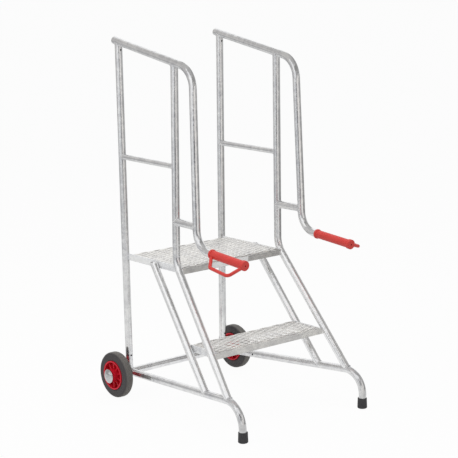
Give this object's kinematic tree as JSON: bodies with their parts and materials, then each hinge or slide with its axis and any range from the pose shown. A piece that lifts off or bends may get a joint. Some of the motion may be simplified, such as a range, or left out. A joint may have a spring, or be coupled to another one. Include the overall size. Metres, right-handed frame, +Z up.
{
  "type": "mobile steps",
  "caption": "Free-standing tubular steel access steps with an expanded mesh platform and tread, side handrails, forward push handles, rubber front feet and spinning rear wheels.",
  "frame": {"origin": "on the floor, under the middle of the whole object", "axes": "+Z up, +Y the way the climber faces (wheels at +Y, feet and handles at -Y), +X the climber's right"},
  "size_m": [0.626, 0.7706, 1.2523],
  "materials": {
    "galvanised_steel": "hot-dip galvanised, bright and streaky",
    "deck_steel": "hot-dip galvanised, matt",
    "ferrule_rubber": "matt black",
    "grip_vinyl": "soft red vinyl",
    "bright_cap": "zinc plated",
    "tyre_rubber": "dark grey rubber",
    "wheel_plastic": "red moulding",
    "bush_plastic": "black nylon"
  },
  "bodies": {
    "frame": {"axle_tube": "galvanised_steel", "left_base_rail": "galvanised_steel", "left_rear_stile": "galvanised_steel", "left_handrail": "galvanised_steel", "left_front_leg": "galvanised_steel", "left_rear_stringer": "galvanised_steel", "left_mid_rail": "galvanised_steel", "left_tie_rail": "galvanised_steel", "left_axle_collar": "galvanised_steel", "left_axle_washer": "galvanised_steel", "left_handrail_plug": "galvanised_steel", "left_foot_ferrule": "ferrule_rubber", "left_hand_grip": "grip_vinyl", "left_hub_cap": "bright_cap", "right_base_rail": "galvanised_steel", "right_rear_stile": "galvanised_steel", "right_handrail": "galvanised_steel", "right_front_leg": "galvanised_steel", "right_rear_stringer": "galvanised_steel", "right_mid_rail": "galvanised_steel", "right_tie_rail": "galvanised_steel", "right_axle_collar": "galvanised_steel", "right_axle_washer": "galvanised_steel", "right_handrail_plug": "galvanised_steel", "right_foot_ferrule": "ferrule_rubber", "right_hand_grip": "grip_vinyl", "right_hub_cap": "bright_cap", "platform_front_angle": "galvanised_steel", "platform_rear_angle": "galvanised_steel", "platform_right_plate": "galvanised_steel", "platform_left_plate": "galvanised_steel", "platform_mesh": "deck_steel", "tread_front_angle": "galvanised_steel", "tread_rear_angle": "galvanised_steel", "tread_right_plate": "galvanised_steel", "tread_left_plate": "galvanised_steel", "tread_mesh": "deck_steel"},
    "left_wheel": {"left_tyre": "tyre_rubber", "left_wheel_centre": "wheel_plastic", "left_wheel_bush": "bush_plastic"},
    "right_wheel": {"right_tyre": "tyre_rubber", "right_wheel_centre": "wheel_plastic", "right_wheel_bush": "bush_plastic"}
  },
  "joints": [
    {"name": "left_wheel_spin", "type": "hinge", "parent": "frame", "child": "left_wheel", "pos_m": [-0.27004, 0.30538, 0.08], "axis": [1, 0, 0], "continuous": true},
    {"name": "right_wheel_spin", "type": "hinge", "parent": "frame", "child": "right_wheel", "pos_m": [0.27004, 0.30538, 0.08], "axis": [1, 0, 0], "continuous": true}
  ]
}
